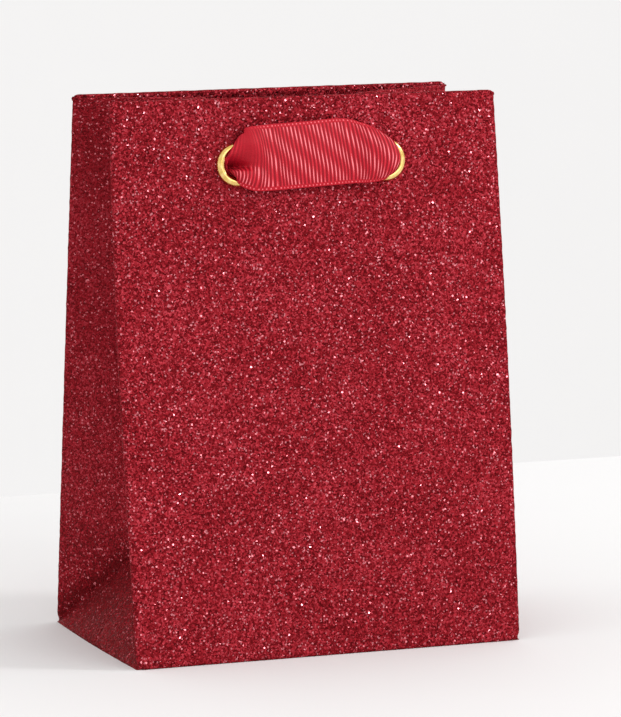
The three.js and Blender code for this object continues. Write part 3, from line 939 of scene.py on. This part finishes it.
# The same at the right eyelet, where the strap's end is a smooth rounded nose.
RIGHT_RIBS = [
    [(-5.9, -1.3, 8.7), (-5.5, -2.2, 7.2), (-5.1, -2.8, 5.5), (-4.8, -3.1, 3.7), (-4.6, -3.1, 1.8),
     (-4.6, -3.0, -0.1), (-4.6, -2.7, -2.0), (-4.7, -2.1, -3.7), (-4.8, -1.3, -5.2)],
    [(-2.8, -1.2, 7.4), (-2.2, -2.2, 6.3), (-1.7, -2.9, 4.8), (-1.3, -3.3, 3.1), (-1.2, -3.3, 1.3),
     (-1.2, -3.1, -0.5), (-1.4, -2.7, -2.2), (-1.6, -2.0, -3.7), (-2.0, -1.2, -4.9)],
    [(-0.6, -1.25, 5.9), (0.3, -2.0, 5.2), (1.0, -2.7, 4.0), (1.4, -3.0, 2.5), (1.6, -3.1, 0.9),
     (1.4, -2.9, -0.7), (1.0, -2.5, -2.2), (0.5, -1.9, -3.4), (-0.3, -1.25, -4.3)],
    [(-0.9, -1.25, 3.6), (1.1, -1.4, 4.4), (2.1, -1.8, 3.2), (2.7, -2.1, 1.8), (2.95, -2.2, 0.4),
     (2.7, -2.0, -1.1), (2.0, -1.7, -2.3), (0.9, -1.4, -3.3), (-0.7, -1.2, -2.9)],
    [(-1.9, -0.8, 1.4), (-0.4, -0.9, 2.6), (1.3, -0.9, 2.3), (2.4, -0.9, 1.2), (2.8, -0.9, 0.1),
     (2.4, -0.9, -1.1), (1.3, -0.9, -2.2), (-0.4, -0.9, -2.5), (-1.9, -0.8, -1.4)],
]
# In mm: (depth, radius) of the ribbon rolled in the bore, then the flat of the strap between the two.
NECK = [(0.3, 2.5), (2.8, 2.3), (5.6, 1.9)]
STRAP_LEFT, STRAP_RIGHT, STRAP_HALF = 9.5, -10.0, 7.6
EDGE_LEVEL, CROWN = -1.3, -0.95
RIB_SLANT = 0.105


def catmull_rom(keys, places):
    """Values at places along keys, where place i is key i; keys can have any shape after the first."""
    keys = np.asarray(keys, float)
    padded = np.concatenate([2 * keys[:1] - keys[1:2], keys, 2 * keys[-1:] - keys[-2:-1]])
    i = np.clip(np.floor(places).astype(int), 0, len(keys) - 2)
    t = (places - i).reshape((-1,) + (1,) * (keys.ndim - 1))
    a, b, c, d = (padded[i + k] for k in range(4))
    return b + t / 2 * (c - a + t * (2 * a - 5 * b + 4 * c - d + t * (3 * (b - c) + d - a)))


def neck_rib(side, depth, radius):
    """A rib of the rolled ribbon inside the bore; its edges meet on the side towards the strap."""
    turn = math.radians(172)
    angles = np.linspace(turn, -turn, 9) if side > 0 else math.pi - np.linspace(turn, -turn, 9)
    crumple = radius * (1 + 0.07 * np.cos(3 * angles + side))
    return joined(crumple * np.cos(angles), depth, crumple * np.sin(angles))


def strap_keys(left, right):
    """The key ribs from the left neck to the right one, in metres in the panel frame."""
    tau = np.linspace(1, -1, 9)

    def flat(x, middle):
        slanted = x - RIB_SLANT * STRAP_HALF * tau
        return joined(slanted, EDGE_LEVEL + CROWN * (1 - tau**2), middle + STRAP_HALF * tau)

    keys = [neck_rib(-1, *spot) for spot in NECK[::-1]] + [np.array(rib) for rib in LEFT_RIBS]
    keys.append(flat(STRAP_LEFT, 1.5))
    shift = (right[0] - left[0]) * 1000
    far = [flat(STRAP_RIGHT, 2.3)] + [np.array(rib) for rib in RIGHT_RIBS]
    far += [neck_rib(1, *spot) for spot in NECK]
    middle = (keys[-1] + far[0] + [shift, 0, 0]) / 2
    keys.append(middle)
    keys += [rib + [shift, 0, 0] for rib in far]
    return np.array(keys) / 1000 + [left[0], 0, left[1]]


def strap_surface(left, right):
    """(points, distance along, distance across from the middle) of the strap's middle surface."""
    keys = strap_keys(left, right)
    gaps = np.linalg.norm(np.diff(keys, axis=0), axis=-1).mean(axis=1)
    length = np.concatenate([[0], np.cumsum(gaps)])
    fine = np.interp(spaced(0, length[-1], RIB_PITCH / 7), length, np.arange(len(keys)))
    down = np.linspace(0, 8, 97)
    rows = catmull_rom(keys, fine)
    points = catmull_rom(np.swapaxes(rows, 0, 1), down)
    points = np.swapaxes(points, 0, 1)
    along = np.interp(fine, np.arange(len(keys)), length)[:, None] + 0 * down[None, :]
    across = (RIBBON_WIDTH / 2 * (1 - down / 4))[None, :] + 0 * along
    return points, along, across


def surface_normals(points):
    du = np.gradient(points, axis=0)
    dv = np.gradient(points, axis=1)
    normal = np.cross(du, dv)
    return normal / np.maximum(np.linalg.norm(normal, axis=-1, keepdims=True), 1e-12)


def rib_relief(along, across, seed=0.0):
    """(height in metres, painted light 0 to 1) of the ribs and of the looped selvedges: crests and loops are
    painted pale as highlights, valleys dark as shade.
    """
    wander = 0.00006 * np.sin(across / 0.0024 + seed) + 0.00003 * np.sin(across / 0.0011 + along / 0.004)
    wander += 0.00005 * np.sin(along / 0.0051 + 2 * seed) * np.sin(across / 0.0017 + 1)
    phase = (along + wander) / RIB_PITCH
    cord = np.abs(np.sin(math.pi * phase)) ** 0.75
    edge = np.clip((np.abs(across) - (RIBBON_WIDTH / 2 - SELVEDGE)) / SELVEDGE, 0, 1)
    inner = smooth(1 - edge / 0.25)
    beads = np.clip(np.sin(math.pi * (phase + 0.35)) ** 2 * 1.3 - 0.3, 0, 1)
    loop = np.exp(-((edge - 0.55) / 0.22) ** 2) * beads
    uneven = 1 + 0.18 * np.sin(along / 0.0009 + across / 0.0011 + seed)
    height = RIB_HEIGHT * (inner * cord * uneven + 0.9 * loop + 0.25 * (1 - inner))
    crest_light = inner * cord**2 * uneven * 0.9 + loop * 1.15 + 0.42 * (1 - inner) * (1 - loop)
    return height, np.clip(crest_light, 0, 1.2)


def press_left_end(along, across, height, crest_light):
    """Flattens the ribs and their painted highlights where the strap's left end is pressed, and paints shade
    in the pocket beside it.
    """
    pressed = np.exp(-(((along - LOBE_PLACE) / LOBE_SPREAD) ** 2)) * smooth(across / 0.002 + 1.4)
    height = height * (1 - 0.88 * pressed)
    crest_light = crest_light + (0.36 - crest_light) * 0.95 * pressed
    # Painted shade in the pocket under the pressed lobe
    pocket_shade = np.exp(-(((along - POCKET_SHADE_PLACE) / POCKET_SHADE_SPREAD) ** 2) - ((across + 0.0012) / 0.0022) ** 2)
    return height, crest_light * (1 - pocket_shade)


def knot_winding(number, centre, side):
    """One winding of a knot, an uneven ring of ribbon, as (points, along, across)."""
    tilt, major, minor = WINDINGS[number]
    a = np.linspace(0, 2 * math.pi, 120)[:, None]
    b = np.linspace(0, 2 * math.pi, 60)[None, :]
    tube = minor * (1 + 0.13 * np.sin(2 * a + number + side) + 0.10 * np.sin(3 * b + 2 * a))
    ring = major * (1 + 0.08 * np.sin(3 * a + number)) + tube * np.cos(b)
    depth = KNOT_FLATNESS * tube * np.sin(b)
    points = joined(ring * np.cos(a), depth, ring * np.sin(a)) / 1000
    turn = np.array(Matrix.Rotation(tilt * 0.35, 3, "Z") @ Matrix.Rotation(tilt * 0.3, 3, "X"))
    along = 0.0034 * a + 0 * b + 0.1 * (number + 1)
    return points @ turn.T + centre, along, 0.0063 * np.cos(b) + 0 * a


def knot_tail(x, z, side):
    """The ribbon's cut end, which hangs from the knot and spreads, as (points, along, across)."""
    u = spaced(0, TAIL_LENGTH, RIB_PITCH / 6)[:, None]
    v = np.linspace(1, -1, 61)[None, :]
    share = u / TAIL_LENGTH
    half = TAIL_START + TAIL_SPREAD * smooth(share * 1.6)
    fold = (0.0011 - 0.0005 * share) * np.cos(3.0 * v + side) * (1 - 0.3 * share)
    cut_end = 0.0012 * side * v * share
    points = joined(
        x + half * v - 0.0020 * side * share,
        KNOT_DEPTH + fold - 0.0003 * share,
        z - 0.0012 - u * 0.92 - cut_end,
    )
    return points, u + 0.3 + 0 * v, RIBBON_WIDTH / 2 * v + 0 * u


def knot_grids(x, z, side):
    """The knot behind an eyelet, shifted towards the panel's middle to clear the gusset."""
    x -= KNOT_SHIFT * side
    centre = np.array([x, KNOT_DEPTH, z])
    windings = [knot_winding(number, centre, side) for number in range(len(WINDINGS))]
    return windings + [knot_tail(x, z, side)]


def make_ribbon(face):
    (left_x, left_z, _), (right_x, right_z, _) = eyelet_places(face)
    sheets = [strap_surface((left_x, left_z), (right_x, right_z))]
    sheets += knot_grids(left_x, left_z, -1) + knot_grids(right_x, right_z, 1)
    grids, crest_lights = [], []
    for k, (points, along, across) in enumerate(sheets):
        height, crest_light = rib_relief(along, across, seed=0.7 * k)
        if k == 0:
            height, crest_light = press_left_end(along, across, height, crest_light)
        points = points - surface_normals(points) * height[..., None] * (-1 if k == 0 else 1)
        lift = bow(face, points[..., 0], points[..., 2])
        world = place(face, points + joined(0.0, lift, 0.0), bowed=False)
        grids.append((world, joined(along, across, 5 + k)))
        crest_lights.append(crest_light.ravel())
    ribbon = make_piece(f"{face}_strap", grids, [RIBBON], weld=0)
    crest_lights = np.concatenate(crest_lights)
    # The rib attribute carries the painted highlights and shade of the ribs
    keep_vectors(ribbon.data, "rib", joined(crest_lights, crest_lights, crest_lights))
    thicken(ribbon, RIBBON_THICKNESS, offset=0)
    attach(ribbon, f"{face}_handle")
    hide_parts(f"{face}_ribbon")


for face in ("front", "back"):
    make_panel(face)
    make_hem_card(face)
    make_eyelets(face)
    make_ribbon(face)
    for side in ("left", "right"):
        make_side(side, face)
make_seam_flap()
make_bottom()
make_base_board()


# ---------------- stage, lights and camera

def stage_material(name, colour, glow=0.0):
    n = Nodes(name)
    at = n.add("ShaderNodeTexCoord").outputs["Object"]
    grain = n.noise(at, 25.0)
    shade = n.ramp(grain, [(0.3, tuple(c * 0.995 for c in colour)), (0.7, colour)])
    n.set(Base_Color=shade, Roughness=0.9, Specular_IOR_Level=0.1)
    n.set(Emission_Color=(1, 0.995, 0.995, 1), Emission_Strength=glow)
    return n.material


def make_stage():
    floor = bpy.data.meshes.new("floor")
    floor.from_pydata([(-3, -3, 0), (3, -3, 0), (3, 0.235, 0), (-3, 0.19, 0)], [], [(0, 1, 2, 3)])
    floor.materials.append(stage_material("floor", (0.845, 0.842, 0.842)))
    wall = bpy.data.meshes.new("wall")
    wall.from_pydata([(-6, 2.5, -3), (6, 2.5, -3), (6, 2.5, 4), (-6, 2.5, 4)], [], [(0, 1, 2, 3)])
    wall.materials.append(stage_material("wall", (0.82, 0.815, 0.815), 0.03))
    for mesh in (floor, wall):
        obj = bpy.data.objects.new(mesh.name, mesh)
        bpy.context.scene.collection.objects.link(obj)


def area_light(name, place_at, size, power, aim=(0, 0, 0.06)):
    lamp = bpy.data.lights.new(name, "AREA")
    lamp.shape = "RECTANGLE"
    lamp.size, lamp.size_y = size
    lamp.energy = power
    obj = bpy.data.objects.new(name, lamp)
    obj.location = place_at
    obj.rotation_mode = "QUATERNION"
    obj.rotation_quaternion = (Vector(aim) - Vector(place_at)).to_track_quat("-Z", "Y")
    bpy.context.scene.collection.objects.link(obj)


def make_lights():
    world = bpy.data.worlds.new("studio")
    world.use_nodes = True
    world.node_tree.nodes["Background"].inputs[0].default_value = (1, 0.995, 0.99, 1)
    world.node_tree.nodes["Background"].inputs[1].default_value = 1.04
    bpy.context.scene.world = world
    area_light("key", (0.95, -0.42, 0.66), (0.14, 0.14), 3.4)
    area_light("front", (0.50, -1.40, 0.80), (0.9, 0.9), 3.6)


def make_camera():
    """A long lens a metre away, in front of the bag, to its left and a little above it."""
    azimuth, elevation, roll = math.radians(-20.47), math.radians(7.64), math.radians(-0.27)
    width = 2 * HALF_WIDTH
    back = Vector((
        math.sin(azimuth) * math.cos(elevation),
        -math.cos(azimuth) * math.cos(elevation),
        math.sin(elevation),
    ))
    across = Vector((0, 0, 1)).cross(back).normalized()
    up = back.cross(across)
    turned = across * math.cos(roll) + up * math.sin(roll)
    upright = up * math.cos(roll) - across * math.sin(roll)
    rotation = Matrix((turned, upright, back)).transposed().to_4x4()
    data = bpy.data.cameras.new("camera")
    data.lens = 215.1
    data.clip_start, data.clip_end = 0.05, 20
    camera = bpy.data.objects.new("camera", data)
    camera.matrix_world = Matrix.Translation(Vector((-3.64, -9.94, 2.11)) * width) @ rotation
    bpy.context.scene.collection.objects.link(camera)
    bpy.context.scene.camera = camera


make_stage()
make_lights()
make_camera()
bpy.context.scene.view_settings.view_transform = "Standard"
